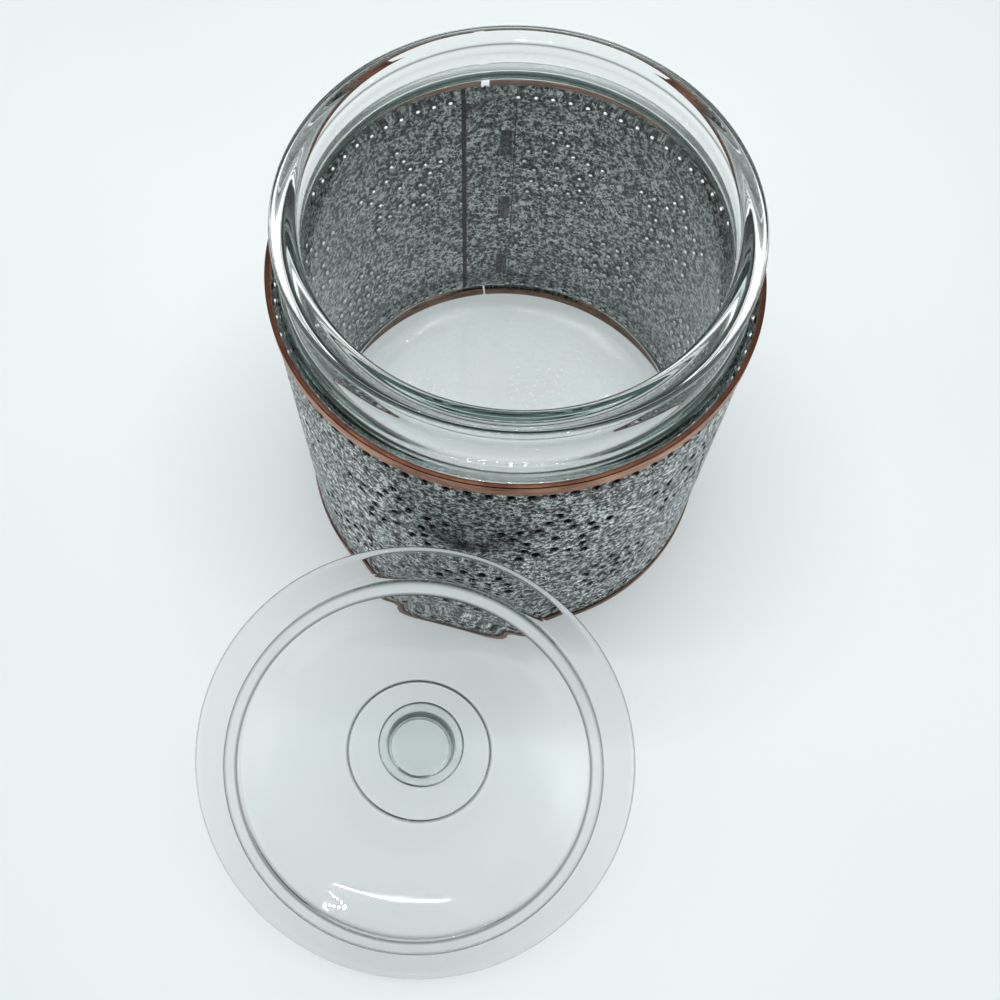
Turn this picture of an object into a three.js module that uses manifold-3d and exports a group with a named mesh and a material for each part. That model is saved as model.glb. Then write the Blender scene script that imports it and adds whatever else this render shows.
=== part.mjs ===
import * as THREE from "three";
import { mergeVertices } from "three/addons/utils/BufferGeometryUtils.js";
import Module from "manifold-3d";

const wasm = await Module();
wasm.setup();

// Driving dimensions in millimetres and degrees.
// +Z is up, the jar's axis is Z and the table is z = 0.
const ROUND_STEPS = 60;

const JAR_HEIGHT = 155;
const LIP_RADIUS = 75.4;
const LIP_ROUND = 0.7;
const LIP_LOW_Z = 150.8;
const MOUTH_RADIUS = 66.8;
const MOUTH_ROUND = 3.6;
const MOUTH_LOW_Z = 144.9;
const NECK_RADIUS = 71.1;
const NECK_Z = 145.3;
const SHOULDER_RADIUS = 75.5;
const SHOULDER_Z = 135.5;
const BODY_TOP_Z = 125;
const BODY_TOP_RADIUS = 76.9;
const BODY_BASE_RADIUS = 74.7;
const BASE_FLAT_RADIUS = 63;
const HEEL_TALL = 11;
const WALL = 4.3;
const FLOOR_THICK = 6;

const SLEEVE_TOP_RADIUS = 79.6;
const SLEEVE_BASE_RADIUS = 77.2;
const SLEEVE_HEIGHT = 129;
const SHEET = 0.5;
const STRIP = 0.45;
const STRIP_GAP = 0.15;
const STRIP_OUTER_LEG = 5;
const STRIP_LOW_OUTER_LEG = 3;
const STRIP_INNER_LEG = 3.6;
const EDGE_GAP = 0.2;

const SHEET_FREE_END = 9.5;
const STEP_ANGLE = 17.4;
const STEP_WIDE = 1.4;
const TONGUE_END = 2.5;
const TONGUE_SHEET = 0.4;
const TONGUE_DROP = 0.8;
const TONGUE_LOW = 6;
const TONGUE_HIGH = 123.2;
const TONGUE_CORNER = 3;
const SLOT_MIDDLE = 5;
const SLOT_HALF_ANGLE = 1.9;
const SLOT_HALF_TALL = 6.7;
const LUG_HALF_ANGLE = 1.6;
const LUG_HALF_TALL = 6.3;
const LUG_HEIGHTS = [24, 60.6, 97.2];
const RIM_LEFT_END = 12.2;
const RIM_RIGHT_END = 9.9;
const LOW_RIM_LEFT_END = 10.5;

const LID_RADIUS = 74.4;
const LID_FLANGE = 4.5;
const LID_RING_OUTER = 63.6;
const LID_RING_INNER = 58.9;
const LID_RING_DEEP = 3.9;
const LID_FOOT_RADIUS = 25.4;
const LID_FOOT_Z = 21.2;
const KNOB_STEM_RADIUS = 10.4;
const KNOB_HEAD_RADIUS = 14.5;
const KNOB_HEAD_Z = 34.4;
const KNOB_ROUND = 5.5;
const LID_X = -23.5;
const LID_Y = -143.4;
const LID_LEAN_AZIMUTH = -92;

const rad = THREE.MathUtils.degToRad;

// Points of a round from angle a to angle b about a centre.
function round(cx, cz, r, a, b, steps) {
  const points = [];
  for (let i = 0; i <= steps; i++) {
    const t = rad(a + ((b - a) * i) / steps);
    points.push([cx + r * Math.cos(t), cz + r * Math.sin(t)]);
  }
  return points;
}

// A smooth run of points through a few given ones.
function smooth(points, steps) {
  const curve = new THREE.SplineCurve(points.map((p) => new THREE.Vector2(p[0], p[1])));
  return curve.getPoints(steps).map((p) => [p.x, p.y]);
}

// A profile of radius and height turned round Z.
function turned(profile) {
  const points = profile.map((p) => new THREE.Vector2(Math.max(p[0], 0), p[1]));
  const geometry = new THREE.LatheGeometry(points, ROUND_STEPS);
  geometry.rotateX(Math.PI / 2);
  return geometry;
}

// A closed loop of points carried from station to station, with falling angles, and capped at both ends.
// Each station is a list of radius and height, with the angle that it stands at.
function carried(stations) {
  const n = stations[0].loop.length;
  const flat = stations[0].loop.map((p) => new THREE.Vector2(p[0], p[1]));
  const backward = THREE.ShapeUtils.isClockWise(flat);
  if (backward) flat.reverse();
  const positions = [];
  for (const { angle, loop } of stations) {
    const t = rad(angle);
    const ordered = backward ? [...loop].reverse() : loop;
    for (const [r, z] of ordered) {
      positions.push(-r * Math.sin(t), r * Math.cos(t), z);
    }
  }
  const faces = [];
  for (let s = 0; s + 1 < stations.length; s++) {
    for (let i = 0; i < n; i++) {
      const a = s * n + i;
      const b = s * n + ((i + 1) % n);
      faces.push(a, b, b + n, a, b + n, a + n);
    }
  }
  const last = (stations.length - 1) * n;
  for (const [a, b, c] of THREE.ShapeUtils.triangulateShape(flat, [])) {
    faces.push(a, c, b);
    faces.push(last + a, last + b, last + c);
  }
  const geometry = new THREE.BufferGeometry();
  geometry.setAttribute("position", new THREE.Float32BufferAttribute(positions, 3));
  geometry.setIndex(faces);
  return geometry;
}

function solid(geometry) {
  const plain = geometry.clone();
  plain.deleteAttribute("normal");
  plain.deleteAttribute("uv");
  const merged = mergeVertices(plain, 1e-3);
  return new wasm.Manifold(
    new wasm.Mesh({
      numProp: 3,
      vertProperties: merged.attributes.position.array,
      triVerts: new Uint32Array(merged.index.array),
    }),
  );
}

function geometryOf(manifold) {
  const mesh = manifold.getMesh();
  const geometry = new THREE.BufferGeometry();
  geometry.setAttribute("position", new THREE.BufferAttribute(mesh.vertProperties, 3));
  geometry.setIndex(new THREE.BufferAttribute(mesh.triVerts, 1));
  geometry.computeVertexNormals();
  return geometry;
}

const root = new THREE.Group();

function add(name, geometry, look) {
  geometry.computeVertexNormals();
  const mesh = new THREE.Mesh(geometry, new THREE.MeshStandardMaterial(look));
  mesh.name = name;
  root.add(mesh);
  return mesh;
}

const GLASS = {
  color: 0xe6efec,
  roughness: 0.04,
  metalness: 0,
  transparent: true,
  opacity: 0.35,
};
const ZINC = { color: 0x8d9699, roughness: 0.45, metalness: 0.85 };
const COPPER = { color: 0xb06f50, roughness: 0.35, metalness: 0.9 };

// Glass jar: flat base, rounded heel, tapered wall, shoulder, neck and lip.
function jarProfile() {
  const p = [[0, 0]];
  for (let i = 0; i <= 5; i++) {
    const t = rad(18 * i);
    const r = BASE_FLAT_RADIUS + (BODY_BASE_RADIUS - BASE_FLAT_RADIUS) * Math.sin(t);
    p.push([r, HEEL_TALL * (1 - Math.cos(t))]);
  }
  const lipTop = JAR_HEIGHT - LIP_ROUND;
  const mouthTop = JAR_HEIGHT - MOUTH_ROUND;
  const innerTop = BODY_TOP_RADIUS - WALL;
  const innerBase = BODY_BASE_RADIUS - WALL;
  p.push(
    ...smooth(
      [
        [BODY_TOP_RADIUS, BODY_TOP_Z],
        [SHOULDER_RADIUS + 0.4, SHOULDER_Z - 3.9],
        [SHOULDER_RADIUS, SHOULDER_Z],
        [NECK_RADIUS, NECK_Z],
        [LIP_RADIUS, LIP_LOW_Z],
        [LIP_RADIUS, lipTop - 0.2],
      ],
      15,
    ),
  );
  p.push(...round(LIP_RADIUS - LIP_ROUND, lipTop, LIP_ROUND, 0, 90, 2));
  p.push(...round(MOUTH_RADIUS + MOUTH_ROUND, mouthTop, MOUTH_ROUND, 90, 180, 4));
  p.push(
    ...smooth(
      [
        [MOUTH_RADIUS, MOUTH_LOW_Z],
        [MOUTH_RADIUS + 0.9, MOUTH_LOW_Z - 4.4],
        [MOUTH_RADIUS + 1.2, SHOULDER_Z + 2.5],
        [innerTop - 0.4, SHOULDER_Z - 1.8],
        [innerTop, BODY_TOP_Z - 3],
      ],
      8,
    ),
  );
  for (let i = 0; i <= 5; i++) {
    const t = rad(18 * i);
    const r = innerBase - 13 * (1 - Math.cos(t));
    p.push([r, FLOOR_THICK + 0.6 + 12 * (1 - Math.sin(t))]);
  }
  p.push([0, FLOOR_THICK]);
  return p;
}

// Lid the right way up, with the face of the flange that meets the jar's lip at z = 0.
function lidProfile() {
  const ring = LID_RING_INNER;
  const p = smooth(
    [
      [0, 16.6],
      [16, 16.3],
      [32, 13.9],
      [46, 8.6],
      [54.5, 3.2],
    ],
    9,
  );
  p.push([ring - 0.6, 0.6]);
  p.push([ring - 0.1, -LID_RING_DEEP + 0.5]);
  p.push([ring + 0.4, -LID_RING_DEEP]);
  p.push([LID_RING_OUTER - 0.6, -LID_RING_DEEP]);
  p.push([LID_RING_OUTER - 0.1, -LID_RING_DEEP + 0.5]);
  p.push([LID_RING_OUTER, -0.3]);
  p.push([LID_RING_OUTER + 0.3, 0]);
  const half = LID_FLANGE / 2;
  p.push(...round(LID_RADIUS - half, half, half, -90, 90, 6));
  p.push(
    ...smooth(
      [
        [66.5, LID_FLANGE + 0.1],
        [61.5, LID_FLANGE + 1.4],
        [50, 12.6],
        [37, 18.6],
        [LID_FOOT_RADIUS + 0.9, LID_FOOT_Z - 0.2],
      ],
      9,
    ),
  );
  p.push([LID_FOOT_RADIUS, LID_FOOT_Z + 0.4]);
  p.push([LID_FOOT_RADIUS - 0.2, LID_FOOT_Z + 1.2]);
  p.push([LID_FOOT_RADIUS - 1.1, LID_FOOT_Z + 1.8]);
  p.push(
    ...smooth(
      [
        [LID_FOOT_RADIUS - 3.2, LID_FOOT_Z + 2.1],
        [KNOB_STEM_RADIUS + 4.4, LID_FOOT_Z + 3.2],
        [KNOB_STEM_RADIUS, KNOB_HEAD_Z - 6.6],
        [KNOB_STEM_RADIUS + 0.9, KNOB_HEAD_Z - 4.2],
        [KNOB_HEAD_RADIUS - 0.9, KNOB_HEAD_Z - 2],
      ],
      8,
    ),
  );
  p.push(...round(KNOB_HEAD_RADIUS - KNOB_ROUND, KNOB_HEAD_Z, KNOB_ROUND, 0, 90, 5));
  p.push([0, KNOB_HEAD_Z + KNOB_ROUND]);
  return p;
}

// The sheet's outer radius, plus an offset, at a height.
function sheetRadius(z, offset) {
  const grow = (SLEEVE_TOP_RADIUS - SLEEVE_BASE_RADIUS) / SLEEVE_HEIGHT;
  return SLEEVE_BASE_RADIUS + grow * z + offset;
}

function sheetLoop(inner, outer, low, high) {
  return [
    [sheetRadius(low, inner), low],
    [sheetRadius(low, outer), low],
    [sheetRadius(high, outer), high],
    [sheetRadius(high, inner), high],
  ];
}

function angles(from, to, steps) {
  return Array.from({ length: steps + 1 }, (_, i) => from + ((to - from) * i) / steps);
}

const sheetLow = STRIP + EDGE_GAP;
const sheetHigh = SLEEVE_HEIGHT - STRIP - EDGE_GAP;

function sleeveSolid() {
  const around = [
    ...angles(SHEET_FREE_END, -2.5, 6),
    ...angles(-2.5, STEP_ANGLE - 360, ROUND_STEPS - 2).slice(1),
  ];
  const band = around.map((angle) => ({
    angle,
    loop: sheetLoop(-SHEET, 0, sheetLow, sheetHigh),
  }));
  const tongue = [];
  const place = (angle, drop, inset) => {
    const middle = -drop - SHEET / 2;
    const half = TONGUE_SHEET / 2;
    const loop = sheetLoop(middle - half, middle + half, TONGUE_LOW + inset, TONGUE_HIGH - inset);
    tongue.push({ angle, loop });
  };
  const drop = TONGUE_DROP - (SHEET - TONGUE_SHEET) / 2;
  place(STEP_ANGLE + 0.8, 0, 0);
  place(STEP_ANGLE - 0.1, 0, 0);
  place(STEP_ANGLE - STEP_WIDE, drop, 0);
  const perDegree = rad(1) * SLEEVE_TOP_RADIUS;
  const cornerAngle = TONGUE_CORNER / perDegree;
  for (const angle of angles(STEP_ANGLE - STEP_WIDE - 2, TONGUE_END + cornerAngle, 5)) {
    place(angle, drop, 0);
  }
  for (const share of [0.4, 0.75, 0.94, 1]) {
    const inset = TONGUE_CORNER * (1 - Math.sqrt(1 - share * share));
    place(TONGUE_END + cornerAngle * (1 - share), drop, inset);
  }
  let flap = solid(carried(tongue));
  let body = solid(carried(band));
  for (const height of LUG_HEIGHTS) {
    const slot = angles(SLOT_MIDDLE + SLOT_HALF_ANGLE, SLOT_MIDDLE - SLOT_HALF_ANGLE, 2);
    const hole = slot.map((angle) => ({
      angle,
      loop: sheetLoop(-4, 2, height - SLOT_HALF_TALL, height + SLOT_HALF_TALL),
    }));
    flap = flap.subtract(solid(carried(hole)));
    const span = angles(SLOT_MIDDLE + LUG_HALF_ANGLE, SLOT_MIDDLE - LUG_HALF_ANGLE, 2);
    const lug = span.map((angle) => ({
      angle,
      loop: sheetLoop(-TONGUE_DROP - TONGUE_SHEET, -SHEET / 2, height - LUG_HALF_TALL, height + LUG_HALF_TALL),
    }));
    body = body.add(solid(carried(lug)));
  }
  return body.add(flap);
}

// A strip folded to a U over one edge of the sheet.
function stripGeometry(edge, up, outerLeg, innerLeg, leftEnd) {
  const z = (depth) => (up ? edge - depth : edge + depth);
  const out = STRIP_GAP + STRIP;
  const inn = -SHEET - STRIP_GAP - STRIP;
  const profile = [
    [out, outerLeg],
    [out, 0.35],
    [out - 0.3, 0],
    [inn + 0.3, 0],
    [inn, 0.35],
    [inn, innerLeg],
    [inn + STRIP, innerLeg],
    [inn + STRIP, STRIP],
    [STRIP_GAP, STRIP],
    [STRIP_GAP, outerLeg],
  ];
  const loop = profile.map(([offset, depth]) => [sheetRadius(z(depth), offset), z(depth)]);
  return carried(
    angles(RIM_RIGHT_END, leftEnd - 360, ROUND_STEPS).map((angle) => ({ angle, loop })),
  );
}

// The lid lies upside down on its knob and on the edge of its flange.
function reach(points, lean) {
  const s = Math.sin(lean);
  const c = Math.cos(lean);
  return Math.max(...points.map(([r, z]) => z * c + r * s));
}

function restingLean(profile) {
  const knob = profile.filter(([r, z]) => r < KNOB_HEAD_RADIUS + 1 && z > KNOB_HEAD_Z - 1);
  const flange = profile.filter(([r]) => r > LID_RADIUS - LID_FLANGE);
  let low = 0;
  let high = rad(60);
  for (let i = 0; i < 60; i++) {
    const middle = (low + high) / 2;
    if (reach(knob, middle) > reach(flange, middle)) low = middle;
    else high = middle;
  }
  return (low + high) / 2;
}

add("glass_jar", turned(jarProfile()), GLASS);
add("sleeve", geometryOf(sleeveSolid()), ZINC);
const topStrip = stripGeometry(SLEEVE_HEIGHT, true, STRIP_OUTER_LEG, STRIP_INNER_LEG, RIM_LEFT_END);
const lowStrip = stripGeometry(0, false, STRIP_LOW_OUTER_LEG, STRIP_INNER_LEG, LOW_RIM_LEFT_END);
add("top_rim", topStrip, COPPER);
add("bottom_rim", lowStrip, COPPER);

const lidPoints = lidProfile();
const lean = restingLean(lidPoints);
const azimuth = rad(LID_LEAN_AZIMUTH);
const knobWay = new THREE.Vector3(
  -Math.sin(lean) * Math.cos(azimuth),
  -Math.sin(lean) * Math.sin(azimuth),
  -Math.cos(lean),
);
const lid = add("lid", turned(lidPoints), GLASS);
lid.quaternion.setFromUnitVectors(new THREE.Vector3(0, 0, 1), knobWay);
lid.position.set(LID_X, LID_Y, 0);
lid.updateMatrixWorld(true);
lid.position.z = -new THREE.Box3().setFromObject(lid, true).min.z;

export default root;
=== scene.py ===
import math
import random

import bpy
from mathutils import Matrix, Vector
from mathutils.geometry import delaunay_2d_cdt


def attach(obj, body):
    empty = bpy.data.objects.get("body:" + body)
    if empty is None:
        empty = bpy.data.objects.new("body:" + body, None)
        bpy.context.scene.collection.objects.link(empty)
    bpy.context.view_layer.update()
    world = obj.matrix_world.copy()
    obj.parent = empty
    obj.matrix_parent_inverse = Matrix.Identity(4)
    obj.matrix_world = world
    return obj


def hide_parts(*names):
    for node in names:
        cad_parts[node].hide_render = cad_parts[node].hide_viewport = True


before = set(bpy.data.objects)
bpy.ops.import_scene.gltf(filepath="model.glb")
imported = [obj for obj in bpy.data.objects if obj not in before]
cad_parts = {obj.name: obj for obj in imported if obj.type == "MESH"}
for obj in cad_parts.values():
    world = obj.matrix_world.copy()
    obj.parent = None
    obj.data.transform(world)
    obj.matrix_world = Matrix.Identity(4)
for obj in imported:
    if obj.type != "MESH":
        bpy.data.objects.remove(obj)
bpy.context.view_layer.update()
scene = bpy.context.scene

# The pieces are worked out in millimetres and degrees, and the meshes are in metres.
MM = 0.001
CREASE_ANGLE = 40
ON_AXIS = 1e-6

# Jar.
JAR_HEIGHT = 155.0
LIP_RADIUS = 75.4
LIP_ROUND = 0.7
LIP_LOW_Z = 150.8
MOUTH_RADIUS = 66.8
MOUTH_ROUND = 3.6
MOUTH_LOW_Z = 144.9
NECK_RADIUS = 71.1
NECK_Z = 145.3
SHOULDER_RADIUS = 75.5
SHOULDER_Z = 135.5
BODY_TOP_Z = 125.0
BODY_TOP_RADIUS = 76.9
BODY_BASE_RADIUS = 74.7
BASE_FLAT_RADIUS = 63.0
HEEL_TALL = 11.0
INNER_HEEL_WIDE = 13
INNER_HEEL_TALL = 12
WALL = 4.3
JAR_FLOOR_THICK = 6.0
JAR_FLOOR_RISE = 0.6
JAR_FLOOR_RADIUS = 28
GLASS_STEPS = 180

# Sleeve and its strips. Angles go from the seam's side, +Y, towards -X.
SLEEVE_TOP_RADIUS = 79.6
SLEEVE_BASE_RADIUS = 77.2
SLEEVE_MEAN_RADIUS = (SLEEVE_TOP_RADIUS + SLEEVE_BASE_RADIUS) / 2
SLEEVE_HEIGHT = 129.0
SHEET = 0.5
EDGE_GAP = 0.2
SHEET_FREE_END = 9.5
STRIP = 0.45
STRIP_GAP = 0.15
STRIP_OUTER_LEG = 5.0
STRIP_LOW_OUTER_LEG = 3.0
STRIP_INNER_LEG = 3.6
STRIP_BEND = 0.4
STRIP_FOLD_FROM = 0.4
STRIP_STEPS = 240
RIM_LEFT_END = 12.2
RIM_RIGHT_END = 9.9
LOW_RIM_LEFT_END = 10.5

# Seam. STEP_SHAPE is the step at the tongue's root, as angles past STEP_ANGLE and shares of the drop,
# and the pair after it gives the first and the last of its points that get a painted shadow.
STEP_ANGLE = 17.4
STEP_SHAPE = ((0.6, 0.05), (0.1, 0.1), (0.0, 0.1), (-0.7, 0.4), (-1.4, 1.0), (-1.5, 1.0))
STEP_PAINTED_SHADOW = (2, 3)
STEP_WIDE = 2.0
ROOT_STEPS = 8
TONGUE_END = 2.5
TONGUE_SHEET = 0.4
TONGUE_DROP = 0.8
TONGUE_LOW = 6.0
TONGUE_HIGH = 125.1
TONGUE_CORNER = 3.0
CORNER_STEPS = 8
SLOT_MIDDLE = 5.0
SLOT_HALF_ANGLE = 1.9
SLOT_HALF_TALL = 6.7
SLOT_STEPS = 5
LUG_HALF_ANGLE = 1.6
LUG_HALF_TALL = 6.3
LUG_HEIGHTS = (24.0, 60.6, 97.2)
LUG_SHADE = 0.4

# Punched pattern: two rows of pits, stars above and rosettes below.
# A ring is given by its radius and its number of points.
GRID = 3.4
PIT_RADIUS = 1.8
PIT_DEEP = 1.25
PIT_CURVE = 1.4
PIT_RINGS = ((0.5, 7), (1.0, 10), (1.4, 12), (1.8, 12), (2.1, 12))
PIT_APART = 4.2
PIT_KEEP_OFF = 3.0
PIT_JITTER = 0.28
PLAIN_END = 6
TOP_ROW_Z = 120.6
LOW_ROW_Z = 8.8
ROW_STEP = 6.5
MOTIFS = 9
STAR_Z = 86.0
STAR_REACH = 19.0
STAR_WAIST = 9.5
STAR_POINTS = 5
ROSETTE_Z = 40.0
ROSETTE_RINGS = ((6.2, 6), (12.6, 12))
PATTERN_SEED = 7
MERGE_DISTANCE = 1e-6

# Lid, the right way up, with the face that meets the jar's lip at height 0.
LID_RADIUS = 74.4
LID_FLANGE = 4.5
LID_RING_OUTER = 63.6
LID_RING_INNER = 58.9
LID_RING_DEEP = 3.9
LID_DISH = ((0, 16.6), (16, 16.3), (32, 13.9), (46, 8.6), (54.5, 3.2))
LID_DOME = ((66.5, LID_FLANGE + 0.1), (61.5, LID_FLANGE + 1.4), (50, 12.6), (37, 18.6))
LID_FOOT_RADIUS = 25.4
LID_FOOT_Z = 21.2
KNOB_STEM_RADIUS = 10.4
KNOB_HEAD_RADIUS = 14.5
KNOB_HEAD_Z = 34.4
KNOB_STEM_Z = KNOB_HEAD_Z - 6.6
KNOB_ROUND = 5.5

# Where the lid lies, upside down, and which way it leans.
LID_X = -23.5
LID_Y = -143.4
LID_LEAN_AZIMUTH = -92
MOST_LEAN = 60
HALVINGS = 60

# Edges of the glass that get painted shade, dark lines painted into its colour: radius, height and reach.
JAR_PAINTED_EDGES = (
    (LIP_RADIUS, JAR_HEIGHT - LIP_ROUND, 0.7),
    (MOUTH_RADIUS + 0.3 * MOUTH_ROUND, JAR_HEIGHT - 0.3 * MOUTH_ROUND, 0.55),
)
LID_PAINTED_EDGES = (
    (LID_RADIUS, LID_FLANGE / 2, 2.2),
    (LID_RING_OUTER - 0.3, -LID_RING_DEEP, 0.6),
    (LID_RING_INNER + 0.2, -LID_RING_DEEP, 0.8),
    (LID_FOOT_RADIUS, LID_FOOT_Z + 0.4, 0.8),
    (KNOB_STEM_RADIUS, KNOB_STEM_Z, 0.8),
    (KNOB_HEAD_RADIUS, KNOB_HEAD_Z, 1.2),
)
# How dark the painted shade at the glass's edges goes.
EDGE_PAINTED_SHADE = 0.2
GLASS_IOR = 1.5

# Colours of the sheet, and how much brighter its inside is painted, as painted light.
ZINC_DARK = (0.012, 0.014, 0.015)
ZINC_MIDDLE = (0.244, 0.2605, 0.26125)
ZINC_LIGHT = (0.94, 1.0, 1.0)
ZINC_INNER_PAINTED_LIGHT = 1.25

# Floor, lamps and sky, in metres. The floor has painted light, bright near the object and dim far from it.
FLOOR_HALF = 3.0
FLOOR_Z = -0.0002
FLOOR_LIT_REACH = 0.4
FLOOR_DIM = 0.9
FLOOR_FAR_SHARE = 0.5
FLOOR_SHADOW_REACH = 0.025
FLOOR_GLOW = 0.47
LAMP_ROWS_Y = (-0.04, 0.12)
LAMPS_IN_ROW = 24
LAMP_ROW_HALF = 0.28
LAMP_Z = 0.75
LAMP_SIZE = 0.007
LAMP_POWER = 0.08
SKY_LOW = (5.0, 5.15, 5.1)
SKY_HIGH = (0.95, 1.0, 1.0)
SKY_STRENGTH = 0.3
OPENING_WAY = (0, -0.46, 0.89)
OPENING_EDGE = (0.955, 0.985)
OPENING_SHARE = 0.08
FRONT_EDGE = (0.4, 0.8)
FRONT_SHARE = 0.06

# Camera, fitted to the photograph's 1000 by 1000 frame, in metres, degrees and pixels.
CAMERA_PLACE = (0.0, -0.24015, 0.46411)
CAMERA_PITCH = 65.022
CAMERA_YAW = -0.1318
CAMERA_ROLL = 3.559
CAMERA_NEAREST = 0.01
FOCAL_PIXELS = 1267.0
FRAME_PIXELS = 1000.0
SENSOR_MM = 36.0

# View, and how light is followed.
VIEW_EXPOSURE = 0.1
VIEW_GAMMA = 0.8
LIGHT_BOUNCES = 64
INDIRECT_LIMIT = 50


def spread(start, stop, steps):
    """Evenly spaced values from start to stop."""
    return [start + (stop - start) * i / steps for i in range(steps + 1)]


def round_run(cx, cz, r, start, stop, steps):
    """Points of a round from one angle to another about a centre."""
    angles = [math.radians(angle) for angle in spread(start, stop, steps)]
    return [(cx + r * math.cos(t), cz + r * math.sin(t)) for t in angles]


def smooth_run(points, steps):
    """A smooth run of points through a few given ones."""
    last = len(points) - 1
    run = []
    for i in range(steps + 1):
        at = last * i / steps
        k = min(int(at), last - 1)
        t = at - k
        a, b = points[max(k - 1, 0)], points[k]
        c, d = points[k + 1], points[min(k + 2, last)]
        point = []
        for j in range(2):
            v0, v1 = (c[j] - a[j]) / 2, (d[j] - b[j]) / 2
            cubic = 2 * b[j] - 2 * c[j] + v0 + v1
            square = -3 * b[j] + 3 * c[j] - 2 * v0 - v1
            point.append(((cubic * t + square) * t + v0) * t + b[j])
        run.append(tuple(point))
    return run


def jar_profile():
    """Half section of the jar, from the middle of its base round to the middle of its floor."""
    quarter = [math.radians(angle) for angle in spread(0, 90, 14)]
    points = [(0, 0), (BASE_FLAT_RADIUS / 2, 0)]
    for t in quarter:
        r = BASE_FLAT_RADIUS + (BODY_BASE_RADIUS - BASE_FLAT_RADIUS) * math.sin(t)
        points.append((r, HEEL_TALL * (1 - math.cos(t))))
    points.append(((BODY_BASE_RADIUS + BODY_TOP_RADIUS) / 2, BODY_TOP_Z / 2))
    lip_top = JAR_HEIGHT - LIP_ROUND
    outside = [
        (BODY_TOP_RADIUS, BODY_TOP_Z - 4),
        (BODY_TOP_RADIUS, BODY_TOP_Z),
        (SHOULDER_RADIUS + 0.4, SHOULDER_Z - 3.9),
        (SHOULDER_RADIUS, SHOULDER_Z),
        (NECK_RADIUS, NECK_Z),
        (LIP_RADIUS, LIP_LOW_Z),
        (LIP_RADIUS, lip_top),
    ]
    points += smooth_run(outside, steps=48)[:-1]
    points += round_run(LIP_RADIUS - LIP_ROUND, lip_top, LIP_ROUND, 0, 90, steps=10)
    mouth_top = JAR_HEIGHT - MOUTH_ROUND
    points += round_run(MOUTH_RADIUS + MOUTH_ROUND, mouth_top, MOUTH_ROUND, 90, 180, steps=12)
    inner_top = BODY_TOP_RADIUS - WALL
    inner_base = BODY_BASE_RADIUS - WALL
    inside = [
        (MOUTH_RADIUS, mouth_top - 0.3),
        (MOUTH_RADIUS, MOUTH_LOW_Z),
        (MOUTH_RADIUS + 0.9, MOUTH_LOW_Z - 4.4),
        (MOUTH_RADIUS + 1.2, SHOULDER_Z + 2.5),
        (inner_top - 0.4, SHOULDER_Z - 1.8),
        (inner_top, BODY_TOP_Z - 3),
        (inner_top - 0.1, BODY_TOP_Z - 13),
    ]
    points += smooth_run(inside, steps=48)
    points.append(((inner_top + inner_base) / 2, BODY_TOP_Z / 2))
    for t in quarter:
        r = inner_base - INNER_HEEL_WIDE * (1 - math.cos(t))
        points.append((r, JAR_FLOOR_THICK + JAR_FLOOR_RISE + INNER_HEEL_TALL * (1 - math.sin(t))))
    points += [(JAR_FLOOR_RADIUS, JAR_FLOOR_THICK + JAR_FLOOR_RISE / 3), (0, JAR_FLOOR_THICK)]
    return points


def lid_profile():
    """Half section of the lid, from the middle of its dish round to the middle of its knob."""
    inner, outer, deep = LID_RING_INNER, LID_RING_OUTER, -LID_RING_DEEP
    points = smooth_run([*LID_DISH, (inner - 0.6, 0.6)], steps=30)
    ring = [
        (inner - 0.1, deep + 0.5),
        (inner + 0.4, deep),
        (outer - 0.6, deep),
        (outer - 0.1, deep + 0.5),
        (outer, -0.3),
        (outer + 0.3, 0),
    ]
    points += smooth_run(ring, steps=20)
    half = LID_FLANGE / 2
    points += round_run(LID_RADIUS - half, half, half, -90, 90, steps=16)
    points += smooth_run([*LID_DOME, (LID_FOOT_RADIUS + 0.9, LID_FOOT_Z - 0.2)], steps=28)
    foot_and_stem = [
        (LID_FOOT_RADIUS, LID_FOOT_Z + 0.4),
        (LID_FOOT_RADIUS - 0.2, LID_FOOT_Z + 1.2),
        (LID_FOOT_RADIUS - 1.1, LID_FOOT_Z + 1.8),
        (LID_FOOT_RADIUS - 3.2, LID_FOOT_Z + 2.1),
        (KNOB_STEM_RADIUS + 4.4, LID_FOOT_Z + 3.2),
        (KNOB_STEM_RADIUS, KNOB_STEM_Z),
        (KNOB_STEM_RADIUS + 0.9, KNOB_HEAD_Z - 4.2),
        (KNOB_HEAD_RADIUS - 0.9, KNOB_HEAD_Z - 2),
    ]
    points += smooth_run(foot_and_stem, steps=42)
    points += round_run(KNOB_HEAD_RADIUS - KNOB_ROUND, KNOB_HEAD_Z, KNOB_ROUND, 0, 90, steps=14)
    points.append((0, KNOB_HEAD_Z + KNOB_ROUND))
    return points


def turned(profile, edges):
    """A half section turned round the Z axis, and marked by how near it is to the edges with painted shade.
    """
    verts, rings, shares = [], [], []
    for r, z in profile:
        count = 1 if r < ON_AXIS else GLASS_STEPS
        rings.append([len(verts) + i % count for i in range(GLASS_STEPS)])
        for i in range(count):
            t = 2 * math.pi * i / GLASS_STEPS
            verts.append((r * math.cos(t), r * math.sin(t), z))
        near = min(math.dist((r, z), edge[:2]) / edge[2] for edge in edges)
        shares += [max(0.0, 1 - near)] * count
    faces = []
    for low, high in zip(rings, rings[1:]):
        for i in range(GLASS_STEPS):
            k = (i + 1) % GLASS_STEPS
            corners = [low[i], low[k], high[k], high[i]]
            face = [c for n, c in enumerate(corners) if c not in corners[:n]]
            if len(face) > 2:
                faces.append(face)
    return verts, faces, {"edge": shares}


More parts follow.
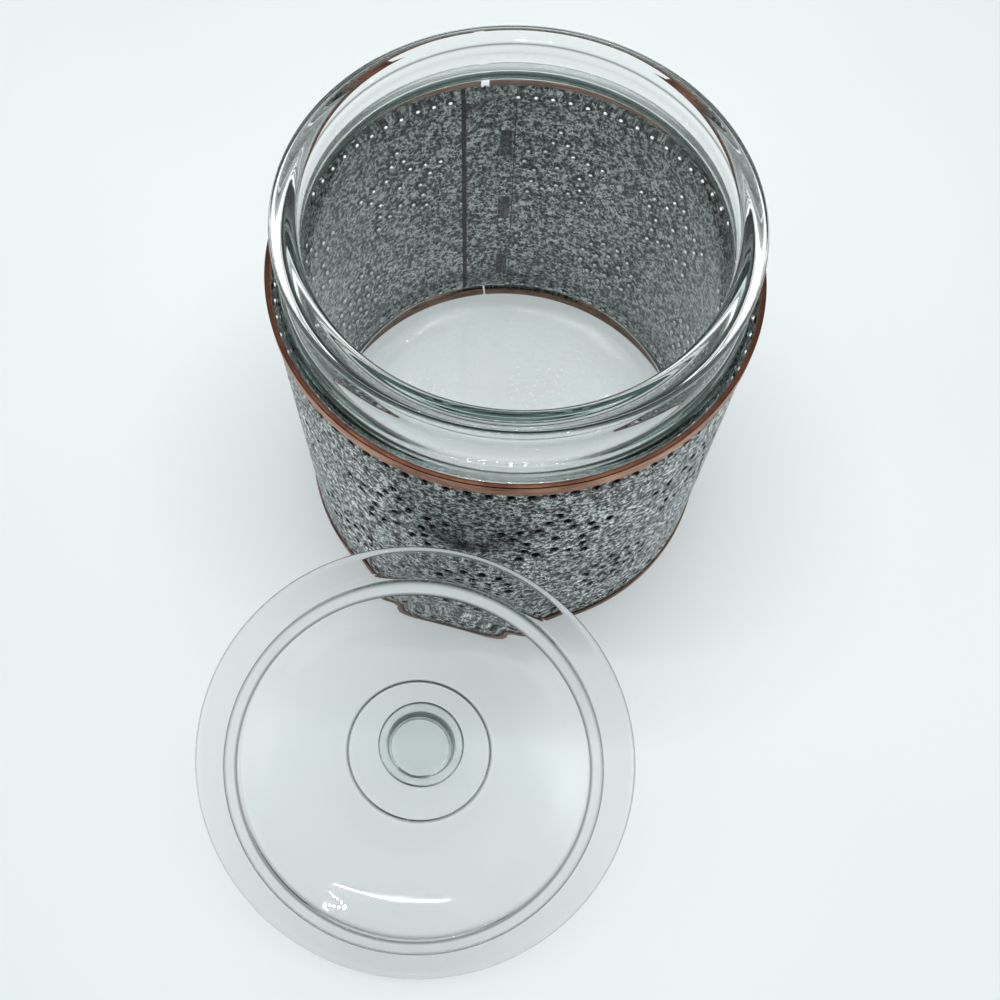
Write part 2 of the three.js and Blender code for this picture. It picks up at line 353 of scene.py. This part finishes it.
def resting_lean(profile):
    """The lean at which the upturned lid touches the table with its knob and with its flange."""
    knob = [p for p in profile if p[0] < KNOB_HEAD_RADIUS + 1 and p[1] > KNOB_HEAD_Z - 1]
    flange = [p for p in profile if p[0] > LID_RADIUS - LID_FLANGE]

    def reach(points, lean):
        return max(z * math.cos(lean) + r * math.sin(lean) for r, z in points)

    low, high = 0, math.radians(MOST_LEAN)
    for _ in range(HALVINGS):
        middle = (low + high) / 2
        if reach(knob, middle) > reach(flange, middle):
            low = middle
        else:
            high = middle
    return (low + high) / 2


def upturned_lid():
    """The lid, turned over and leant as it lies in front of the jar."""
    profile = lid_profile()
    verts, faces, marks = turned(profile, LID_PAINTED_EDGES)
    lean = resting_lean(profile)
    azimuth = math.radians(LID_LEAN_AZIMUTH)
    aside = -math.sin(lean)
    knob_way = Vector((aside * math.cos(azimuth), aside * math.sin(azimuth), -math.cos(lean)))
    tip = Vector((0, 0, 1)).rotation_difference(knob_way).to_matrix()
    verts = [tip @ Vector(v) for v in verts]
    place = Vector((LID_X, LID_Y, -min(v.z for v in verts)))
    return [v + place for v in verts], faces, marks


def sheet_radius(z, offset):
    """Radius of the sleeve's outer face at a height, moved outwards by an offset."""
    grow = (SLEEVE_TOP_RADIUS - SLEEVE_BASE_RADIUS) / SLEEVE_HEIGHT
    return SLEEVE_BASE_RADIUS + grow * z + offset


def sheet_loop(inner, outer, low, high):
    """Section of a piece of sheet between two offsets and two heights."""
    return [
        (sheet_radius(low, inner), low),
        (sheet_radius(low, outer), low),
        (sheet_radius(high, outer), high),
        (sheet_radius(high, inner), high),
    ]


def around(angle, r, z):
    """A point at an angle from the seam's side, +Y, towards -X."""
    t = math.radians(angle)
    return (-r * math.sin(t), r * math.cos(t), z)


def carried(stations):
    """Vertices and faces of a closed loop of radius and height carried through falling angles."""
    n = len(stations[0][1])
    verts = [around(angle, r, z) for angle, loop in stations for r, z in loop]
    faces = [list(range(n))[::-1]]
    for s in range(len(stations) - 1):
        for i in range(n):
            a, b = s * n + i, s * n + (i + 1) % n
            faces.append([a, b, b + n, a + n])
    last = (len(stations) - 1) * n
    faces.append([last + i for i in range(n)])
    return verts, faces


def joined(parts):
    """Vertices and faces of several parts as one."""
    verts, faces = [], []
    for more_verts, more_faces in parts:
        base = len(verts)
        verts += more_verts
        faces += [[base + i for i in face] for face in more_faces]
    return verts, faces


def pit_places(length):
    """Centres of the pits on the flat sheet: distance from the free end, and height."""
    rng = random.Random(PATTERN_SEED)
    pits = []

    def put(s, z):
        s += rng.uniform(-PIT_JITTER, PIT_JITTER)
        z += rng.uniform(-PIT_JITTER, PIT_JITTER)
        inside = PIT_KEEP_OFF + PLAIN_END < s < length - PIT_KEEP_OFF
        if inside and all(math.dist((s, z), pit) > PIT_APART for pit in pits):
            pits.append((s, z))

    def put_star(middle):
        corners = []
        for i in range(2 * STAR_POINTS):
            t = math.radians(90 + 180 * i / STAR_POINTS)
            reach = STAR_WAIST if i % 2 else STAR_REACH
            corners.append((middle + reach * math.cos(t), STAR_Z + reach * math.sin(t)))
        for a, b in zip(corners, corners[1:] + corners[:1]):
            put(*a)
            put((a[0] + b[0]) / 2, (a[1] + b[1]) / 2)
        put(middle, STAR_Z)

    def put_rosette(middle):
        put(middle, ROSETTE_Z)
        for reach, count in ROSETTE_RINGS:
            for i in range(count):
                t = 2 * math.pi * (i + 0.5) / count
                put(middle + reach * math.cos(t), ROSETTE_Z + reach * math.sin(t))

    for row in (TOP_ROW_Z, LOW_ROW_Z):
        for i in range(int(length / ROW_STEP) + 1):
            put((i + 0.5) * ROW_STEP, row)
    pitch = length / MOTIFS
    for motif in range(MOTIFS):
        put_star((motif + 0.5) * pitch)
        put_rosette(motif * pitch)
    return pits


def sheet_points(length, low, high):
    """Points of the flat sheet, a grid with rings at the pits, and how deep each is pressed."""
    pits = pit_places(length)
    columns = spread(0, length, round(length / GRID))
    rows = spread(low, high, round((high - low) / GRID))
    points, depths = [], []
    for s in columns:
        for z in rows:
            edge = s in (columns[0], columns[-1]) or z in (rows[0], rows[-1])
            if edge or all(math.dist((s, z), pit) > PIT_KEEP_OFF for pit in pits):
                points.append((s, z))
                depths.append(0)
    for s, z in pits:
        points.append((s, z))
        depths.append(PIT_DEEP)
        for reach, count in PIT_RINGS:
            share = min(reach / PIT_RADIUS, 1)
            for i in range(count):
                t = 2 * math.pi * (i + 0.5 * (count % 2)) / count
                points.append((s + reach * math.cos(t), z + reach * math.sin(t)))
                depths.append(PIT_DEEP * (1 - share * share) ** PIT_CURVE)
    return points, depths


def punched_band():
    """Both faces of the sheet, with the pits pressed inwards, and its four edges."""
    turn = SHEET_FREE_END - (STEP_ANGLE - 360)
    length = math.radians(turn) * SLEEVE_MEAN_RADIUS
    inset = STRIP + EDGE_GAP
    points, depths = sheet_points(length, inset, SLEEVE_HEIGHT - inset)
    mesh = delaunay_2d_cdt([Vector(p) for p in points], [], [], 0, MERGE_DISTANCE)
    places, triangles, origins = mesh[0], mesh[2], mesh[3]
    pressed = [depths[origin[0]] for origin in origins]
    verts = []
    for offset in (0, -SHEET):
        for (s, z), deep in zip(places, pressed):
            angle = SHEET_FREE_END - math.degrees(s / SLEEVE_MEAN_RADIUS)
            verts.append(around(angle, sheet_radius(z, offset) - deep, z))
    n = len(places)
    faces, edges = [], set()
    for a, b, c in triangles:
        faces += [[a, b, c], [n + a, n + c, n + b]]
        for one, two in ((a, b), (b, c), (c, a)):
            if (two, one) in edges:
                edges.remove((two, one))
            else:
                edges.add((one, two))
    faces += [[b, a, n + a, n + b] for a, b in sorted(edges)]
    shares = [deep / PIT_DEEP for deep in pressed]
    plain = [0] * n
    return verts, faces, {"pit": shares + plain, "bump": plain + shares, "inner": plain + [1] * n}


def tongue():
    """The stepped end of the sheet behind the free end, with slots, and a painted shadow marked at its step
    and its end.
    """
    slot_left = SLOT_MIDDLE + SLOT_HALF_ANGLE
    slot_right = SLOT_MIDDLE - SLOT_HALF_ANGLE

    def loop(low, high, drop=1.0):
        outer = -TONGUE_DROP * drop
        return sheet_loop(outer - TONGUE_SHEET, outer, low, high)

    tall = loop(TONGUE_LOW, TONGUE_HIGH)
    step = [(STEP_ANGLE + angle, loop(TONGUE_LOW, TONGUE_HIGH, drop)) for angle, drop in STEP_SHAPE]
    step += [(angle, tall) for angle in spread(STEP_ANGLE - STEP_WIDE, slot_left, ROOT_STEPS)]
    parts = [carried(step)]
    slot_angles = spread(slot_left, slot_right, SLOT_STEPS)
    heights = [TONGUE_LOW]
    for middle_z in LUG_HEIGHTS:
        heights += [middle_z - SLOT_HALF_TALL, middle_z + SLOT_HALF_TALL]
    heights.append(TONGUE_HIGH)
    for low, high in zip(heights[::2], heights[1::2]):
        parts.append(carried([(angle, loop(low, high)) for angle in slot_angles]))
    end = [(slot_right, tall)]
    corner = math.degrees(TONGUE_CORNER / SLEEVE_TOP_RADIUS)
    for share in spread(0, 1, CORNER_STEPS):
        inset = TONGUE_CORNER * (1 - math.sqrt(1 - share * share))
        angle = TONGUE_END + corner * (1 - share)
        if angle < slot_right:
            end.append((angle, loop(TONGUE_LOW + inset, TONGUE_HIGH - inset)))
    parts.append(carried(end))
    verts, faces = joined(parts)
    corners = len(tall)
    # Painted shadow: the crease at the step and the end edge are marked to go dark.
    step_shadow = range(STEP_PAINTED_SHADOW[0] * corners, (STEP_PAINTED_SHADOW[1] + 1) * corners)
    end_shadow = range(len(verts) - corners, len(verts))
    return verts, faces, {"pit": [float(i in step_shadow or i in end_shadow) for i in range(len(verts))]}


def lugs():
    """Three lugs of the sheet that reach into the tongue's slots."""
    angles = spread(SLOT_MIDDLE + LUG_HALF_ANGLE, SLOT_MIDDLE - LUG_HALF_ANGLE, SLOT_STEPS)
    parts = []
    for middle_z in LUG_HEIGHTS:
        low, high = middle_z - LUG_HALF_TALL, middle_z + LUG_HALF_TALL
        loop = sheet_loop(-TONGUE_DROP - TONGUE_SHEET, -SHEET / 2, low, high)
        parts.append(carried([(angle, loop) for angle in angles]))
    verts, faces = joined(parts)
    return verts, faces, {"pit": [LUG_SHADE] * len(verts)}


def strip(edge, up, outer_leg, left_end):
    """A copper-coloured strip folded to a U over one edge of the sheet, and marked on its fold for painted
    shade.
    """
    out = STRIP_GAP + STRIP
    inn = -SHEET - STRIP_GAP - STRIP
    bend = STRIP_BEND
    profile = [(out, outer_leg), (out, outer_leg / 2)]
    profile += round_run(out - bend, bend, bend, 0, -90, steps=5)
    profile += round_run(inn + bend, bend, bend, -90, -180, steps=5)
    profile += [(inn, STRIP_INNER_LEG / 2), (inn, STRIP_INNER_LEG)]
    profile += [(inn + STRIP, STRIP_INNER_LEG), (inn + STRIP, STRIP)]
    profile += [(STRIP_GAP, STRIP), (STRIP_GAP, outer_leg)]
    if not up:
        profile.reverse()
    loop, fold = [], []
    for offset, depth in profile:
        z = edge - depth if up else edge + depth
        loop.append((sheet_radius(z, offset), z))
        fold.append(float(offset > inn + STRIP_FOLD_FROM * bend and depth < bend))
    angles = spread(RIM_RIGHT_END, left_end - 360, STRIP_STEPS)
    verts, faces = carried([(angle, loop) for angle in angles])
    return verts, faces, {"fold": fold * len(angles)}


def add_piece(name, shape, body, mat):
    """A smooth shaded piece that rides on a body, from vertices in millimetres, faces and marks."""
    verts, faces, marks = shape
    mesh = bpy.data.meshes.new(name)
    mesh.from_pydata([Vector(v) * MM for v in verts], [], faces)
    mesh.validate()
    mesh.polygons.foreach_set("use_smooth", [True] * len(mesh.polygons))
    mesh.set_sharp_from_angle(angle=math.radians(CREASE_ANGLE))
    mesh.materials.append(mat)
    for mark, shares in marks.items():
        layer = mesh.attributes.new(mark, "FLOAT", "POINT")
        layer.data.foreach_set("value", shares)
    piece = bpy.data.objects.new(name, mesh)
    scene.collection.objects.link(piece)
    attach(piece, body)
    return piece


class Shading:
    """A node tree, with a short call for each kind of node used here."""

    def __init__(self, tree):
        self.nodes = tree.nodes
        self.link = tree.links.new

    def add(self, kind, **settings):
        node = self.nodes.new(kind)
        for name, value in settings.items():
            setattr(node, name, value)
        return node

    def object_coords(self):
        return self.add("ShaderNodeTexCoord").outputs["Object"]

    def attribute(self, name):
        return self.add("ShaderNodeAttribute", attribute_name=name).outputs["Fac"]

    def noise(self, coords, scale, detail=3.0, roughness=0.55, distortion=0.0):
        node = self.add("ShaderNodeTexNoise")
        node.inputs["Scale"].default_value = scale
        node.inputs["Detail"].default_value = detail
        node.inputs["Roughness"].default_value = roughness
        node.inputs["Distortion"].default_value = distortion
        self.link(coords, node.inputs["Vector"])
        return node.outputs["Fac"]

    def ramp(self, source, *stops):
        """A ramp through places with a colour each, where one number is a grey."""
        node = self.add("ShaderNodeValToRGB")
        points = node.color_ramp.elements
        while len(points) < len(stops):
            points.new(0.5)
        for point, (place, colour) in zip(points, stops):
            point.position = place
            point.color = (*colour, 1) if isinstance(colour, tuple) else (colour, colour, colour, 1)
        self.link(source, node.inputs["Fac"])
        return node.outputs["Color"]

    def blend(self, kind, a, b, share=1.0):
        node = self.add("ShaderNodeMix", data_type="RGBA", blend_type=kind)
        node.inputs["Factor"].default_value = share
        self.link(a, node.inputs["A"])
        self.link(b, node.inputs["B"])
        return node.outputs["Result"]

    def bump(self, bsdf, height, strength, distance):
        node = self.add("ShaderNodeBump")
        node.inputs["Strength"].default_value = strength
        node.inputs["Distance"].default_value = distance
        self.link(height, node.inputs["Height"])
        self.link(node.outputs["Normal"], bsdf.inputs["Normal"])


def new_material(name):
    mat = bpy.data.materials.new(name)
    mat.use_nodes = True
    return mat, Shading(mat.node_tree), mat.node_tree.nodes["Principled BSDF"]


def glass(name, tint, density, shine):
    """Clear glass with faint smears and waves, tinted by its thickness, with painted shade at its marked
    edges.
    """
    mat, tree, bsdf = new_material(name)
    coords = tree.object_coords()
    # Painted shade: the colour darkens near the marked edges.
    edges = tree.ramp(tree.attribute("edge"), (0.0, 1.0), (0.8, EDGE_PAINTED_SHADE))
    smears = tree.ramp(tree.noise(coords, scale=40, detail=4), (0.45, 0.0), (0.75, 0.012))
    waves = tree.noise(coords, scale=60, detail=2)
    tree.link(edges, bsdf.inputs["Base Color"])
    tree.link(smears, bsdf.inputs["Roughness"])
    tree.bump(bsdf, waves, strength=0.02, distance=0.0006)
    bsdf.inputs["Transmission Weight"].default_value = 1
    bsdf.inputs["IOR"].default_value = GLASS_IOR
    bsdf.inputs["Specular IOR Level"].default_value = shine

    # Light passes straight through on its way to what lies behind the glass.
    clear = tree.add("ShaderNodeBsdfTransparent")
    clear.inputs["Color"].default_value = (0.97, 0.985, 0.98, 1)
    mix = tree.add("ShaderNodeMixShader")
    tree.link(tree.add("ShaderNodeLightPath").outputs["Is Shadow Ray"], mix.inputs["Fac"])
    tree.link(bsdf.outputs["BSDF"], mix.inputs[1])
    tree.link(clear.outputs["BSDF"], mix.inputs[2])
    volume = tree.add("ShaderNodeVolumeAbsorption")
    volume.inputs["Color"].default_value = (*tint, 1)
    volume.inputs["Density"].default_value = density
    output = tree.nodes["Material Output"]
    tree.link(mix.outputs["Shader"], output.inputs["Surface"])
    tree.link(volume.outputs["Volume"], output.inputs["Volume"])
    return mat


def zinc(name, outside):
    """Galvanised sheet: flecks and bright threads, painted shade in the pits and round the bumps, painted
    highlights on the bumps' tops inside, and painted light that makes its inside brighter.
    """
    mat, tree, bsdf = new_material(name)
    coords = tree.object_coords()
    pit = tree.attribute("pit")
    bump = tree.attribute("bump")
    fleck = tree.noise(coords, scale=620, detail=3, roughness=0.6)
    thread = tree.noise(coords, scale=640, detail=1, roughness=0.5, distortion=0.4)
    spangle = tree.noise(coords, scale=340, detail=2, roughness=0.5, distortion=0.6)
    cloud = tree.noise(coords, scale=28, detail=2)

    flecks = tree.ramp(fleck, (0.4, ZINC_DARK), (0.52, ZINC_MIDDLE), (0.62, ZINC_LIGHT))
    threads = tree.ramp(thread, (0.42, 0.0), (0.485, ZINC_LIGHT), (0.515, ZINC_LIGHT), (0.58, 0.0))
    threads = tree.blend("MULTIPLY", threads, tree.ramp(spangle, (0.44, 0.1), (0.58, 1.5)))
    colour = tree.blend("LIGHTEN", flecks, threads, 0.8)
    clouds = tree.ramp(cloud, (0.3, 0.75), (0.7, 1.15))
    # Painted shade: the pits go nearly black; the seam's crease, end edge and lugs share this mark.
    pit_shade = tree.ramp(pit, (0.02, 1.0), (0.3, 0.3), (0.6, 0.03))
    # Painted shade in a ring round each bump.
    bump_shade = tree.ramp(bump, (0.0, 1.0), (0.12, 0.2), (0.5, 0.2))
    for shade in (clouds, pit_shade, bump_shade):
        colour = tree.blend("MULTIPLY", colour, shade)
    # Painted highlights: the bumps' tops are made brighter than white.
    painted_bump_highlights = tree.ramp(bump, (0.62, 0.0), (0.8, 3.6))
    colour = tree.blend("LIGHTEN", colour, painted_bump_highlights)
    # Painted light: each face's colour is scaled, the inside brighter and the outside by the given share.
    painted_side_light = tree.ramp(tree.attribute("inner"), (0.4, outside), (0.6, ZINC_INNER_PAINTED_LIGHT))
    tree.link(tree.blend("MULTIPLY", colour, painted_side_light), bsdf.inputs["Base Color"])

    bright = tree.ramp(threads, (0.1, 0.35), (0.5, 0.9))
    # The bumps' tops lose their metal shine, so that their painted highlights show.
    plain = tree.ramp(bump, (0.55, 1.0), (0.65, 0.0))
    tree.link(tree.blend("MULTIPLY", bright, plain), bsdf.inputs["Metallic"])
    # Less shine in the pits, as part of their painted shade.
    tree.link(tree.ramp(pit, (0.1, 0.5), (0.6, 0.0)), bsdf.inputs["Specular IOR Level"])
    tree.link(tree.ramp(fleck, (0.3, 0.5), (0.7, 0.3)), bsdf.inputs["Roughness"])
    tree.bump(bsdf, fleck, strength=0.3, distance=0.0003)
    return mat


def copper(name, dark, light, rough):
    """Drawn copper-coloured strip, stained in places, with painted shade along its fold."""
    mat, tree, bsdf = new_material(name)
    coords = tree.object_coords()
    stretch = tree.add("ShaderNodeMapping")
    stretch.inputs["Scale"].default_value = (1, 1, 9)
    tree.link(coords, stretch.inputs["Vector"])
    drag = tree.noise(stretch.outputs["Vector"], scale=120, detail=4, roughness=0.6)
    stain = tree.noise(coords, scale=55, detail=3, roughness=0.6, distortion=0.5)
    drawn = tree.ramp(drag, (0.3, dark), (0.62, light))
    stained = tree.ramp(stain, (0.35, (0.62, 0.55, 0.5)), (0.62, 1.0))
    # Painted shade: the marked fold goes dark brown.
    painted_fold_shade = tree.ramp(tree.attribute("fold"), (0.2, 1.0), (0.9, (0.2, 0.15, 0.12)))
    colour = tree.blend("MULTIPLY", drawn, stained, 0.8)
    tree.link(tree.blend("MULTIPLY", colour, painted_fold_shade), bsdf.inputs["Base Color"])
    bsdf.inputs["Metallic"].default_value = 0.75
    tree.link(tree.ramp(drag, (0.3, rough + 0.15), (0.7, rough)), bsdf.inputs["Roughness"])
    tree.bump(bsdf, drag, strength=0.25, distance=0.0003)
    return mat


def floor_paint():
    """Floor with painted light: a soft glow, bright near the object and dim far away, with a faint painted
    shadow where something stands close.
    """
    mat, tree, bsdf = new_material("floor")
    coords = tree.object_coords()
    length = tree.add("ShaderNodeVectorMath", operation="LENGTH")
    tree.link(coords, length.inputs[0])
    away = length.outputs["Value"]
    cloud = tree.noise(coords, scale=3, detail=2)
    tone = tree.ramp(cloud, (0.3, (0.40, 0.41, 0.41)), (0.7, (0.44, 0.45, 0.45)))
    # Painted light: the floor's colour and glow dim with distance from the object.
    fade = tree.ramp(away, (FLOOR_LIT_REACH, 1.0), (FLOOR_DIM, FLOOR_FAR_SHARE))
    tree.link(tree.blend("MULTIPLY", tone, fade), bsdf.inputs["Base Color"])
    bsdf.inputs["Roughness"].default_value = 0.6
    glow = tree.ramp(away, (FLOOR_LIT_REACH, (0.91, 0.97, 0.985)), (FLOOR_DIM, (0.45, 0.49, 0.5)))
    near = tree.add("ShaderNodeAmbientOcclusion", samples=6)
    near.inputs["Distance"].default_value = FLOOR_SHADOW_REACH
    shadow = tree.ramp(near.outputs["AO"], (0.3, 0.92), (0.95, 1.0))
    tree.link(tree.blend("MULTIPLY", glow, shadow), bsdf.inputs["Emission Color"])
    bsdf.inputs["Emission Strength"].default_value = FLOOR_GLOW
    return mat


def add_floor():
    corners = ((-1, -1), (1, -1), (1, 1), (-1, 1))
    mesh = bpy.data.meshes.new("floor")
    mesh.from_pydata([(x * FLOOR_HALF, y * FLOOR_HALF, FLOOR_Z) for x, y in corners], [], [(0, 1, 2, 3)])
    mesh.materials.append(floor_paint())
    floor = bpy.data.objects.new("floor", mesh)
    scene.collection.objects.link(floor)


def add_sky():
    """A light tent, brightest near the table, with a dark opening in its roof and a dim front."""
    world = bpy.data.worlds.new("tent")
    scene.world = world
    world.use_nodes = True
    tree = Shading(world.node_tree)
    way = tree.add("ShaderNodeTexCoord").outputs["Generated"]
    split = tree.add("ShaderNodeSeparateXYZ")
    tree.link(way, split.inputs["Vector"])
    tone = tree.ramp(split.outputs["Z"], (0.0, SKY_LOW), (0.3, SKY_LOW), (0.5, SKY_HIGH))

    towards = tree.add("ShaderNodeVectorMath", operation="DOT_PRODUCT")
    towards.inputs[1].default_value = Vector(OPENING_WAY).normalized()
    tree.link(way, towards.inputs[0])
    opening = tree.ramp(towards.outputs["Value"], (OPENING_EDGE[0], 1.0), (OPENING_EDGE[1], OPENING_SHARE))

    to_front = tree.add("ShaderNodeMath", operation="MULTIPLY")
    to_front.inputs[1].default_value = -1
    tree.link(split.outputs["Y"], to_front.inputs[0])
    front = tree.ramp(to_front.outputs["Value"], (FRONT_EDGE[0], 1.0), (FRONT_EDGE[1], FRONT_SHARE))

    background = tree.nodes["Background"]
    colour = tree.blend("MULTIPLY", tree.blend("MULTIPLY", tone, opening), front)
    tree.link(colour, background.inputs["Color"])
    background.inputs["Strength"].default_value = SKY_STRENGTH


def add_lamps():
    """Two rows of small lamps that shine straight down."""
    for row, row_y in enumerate(LAMP_ROWS_Y):
        for i, x in enumerate(spread(-LAMP_ROW_HALF, LAMP_ROW_HALF, LAMPS_IN_ROW - 1)):
            name = f"lamp_{row}_{i}"
            lamp = bpy.data.lights.new(name, "AREA")
            lamp.size = LAMP_SIZE
            lamp.energy = LAMP_POWER
            light = bpy.data.objects.new(name, lamp)
            light.location = (x, row_y, LAMP_Z)
            scene.collection.objects.link(light)


def add_camera():
    pitch, yaw, roll = (math.radians(a) for a in (CAMERA_PITCH, CAMERA_YAW, CAMERA_ROLL))
    ahead = Vector((math.cos(pitch) * math.sin(yaw), math.cos(pitch) * math.cos(yaw), -math.sin(pitch)))
    level = Vector((math.cos(yaw), -math.sin(yaw), 0))
    above = level.cross(ahead)
    across = math.cos(roll) * level + math.sin(roll) * above
    upward = -math.sin(roll) * level + math.cos(roll) * above
    lens = bpy.data.cameras.new("camera")
    lens.sensor_width = SENSOR_MM
    lens.lens = FOCAL_PIXELS * SENSOR_MM / FRAME_PIXELS
    lens.clip_start = CAMERA_NEAREST
    camera = bpy.data.objects.new("camera", lens)
    turn = Matrix((across, upward, -ahead)).transposed().to_4x4()
    camera.matrix_world = Matrix.Translation(CAMERA_PLACE) @ turn
    scene.collection.objects.link(camera)
    scene.camera = camera


def set_view():
    """Plain colours with a little contrast, and enough bounces for light inside the glass."""
    scene.view_settings.view_transform = "Standard"
    scene.view_settings.exposure = VIEW_EXPOSURE
    scene.view_settings.gamma = VIEW_GAMMA
    scene.cycles.max_bounces = LIGHT_BOUNCES
    scene.cycles.transmission_bounces = LIGHT_BOUNCES
    scene.cycles.glossy_bounces = LIGHT_BOUNCES
    scene.cycles.sample_clamp_indirect = INDIRECT_LIMIT
    scene.cycles.caustics_reflective = False
    scene.cycles.caustics_refractive = False


jar_glass = glass("jar_glass", (0.6, 0.71, 0.69), density=14, shine=0.1)
lid_glass = glass("lid_glass", (0.58, 0.67, 0.65), density=17, shine=0.5)
# Painted light: the sheet's outside is darkened, and the seam's copy, which lies inside, is brightened.
sheet_zinc = zinc("galvanised_sheet", outside=0.86)
lit_seam_zinc = zinc("galvanised_seam", outside=1.2)
top_copper = copper("copper_strip", (0.4, 0.22, 0.15), (0.7, 0.44, 0.33), rough=0.34)
# Painted shade: the low strip's copper is a darker copy, as if in shadow.
shaded_low_copper = copper("copper_strip_low_shaded", (0.2, 0.13, 0.1), (0.42, 0.26, 0.19), rough=0.4)

jar = add_piece("jar_body", turned(jar_profile(), JAR_PAINTED_EDGES), "jar", jar_glass)
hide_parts("glass_jar")

band = add_piece("sleeve_sheet", punched_band(), "sleeve", sheet_zinc)
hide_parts("sleeve")
add_piece("sleeve_tongue", tongue(), "sleeve", lit_seam_zinc)
add_piece("sleeve_lugs", lugs(), "sleeve", lit_seam_zinc)

top_shape = strip(SLEEVE_HEIGHT, True, STRIP_OUTER_LEG, RIM_LEFT_END)
top_strip = add_piece("top_strip", top_shape, "sleeve", top_copper)
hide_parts("top_rim")
low_shape = strip(0, False, STRIP_LOW_OUTER_LEG, LOW_RIM_LEFT_END)
low_strip = add_piece("low_strip", low_shape, "sleeve", shaded_low_copper)
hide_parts("bottom_rim")

lid = add_piece("lid_glass", upturned_lid(), "lid", lid_glass)
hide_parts("lid")

add_floor()
add_sky()
add_lamps()
add_camera()
set_view()
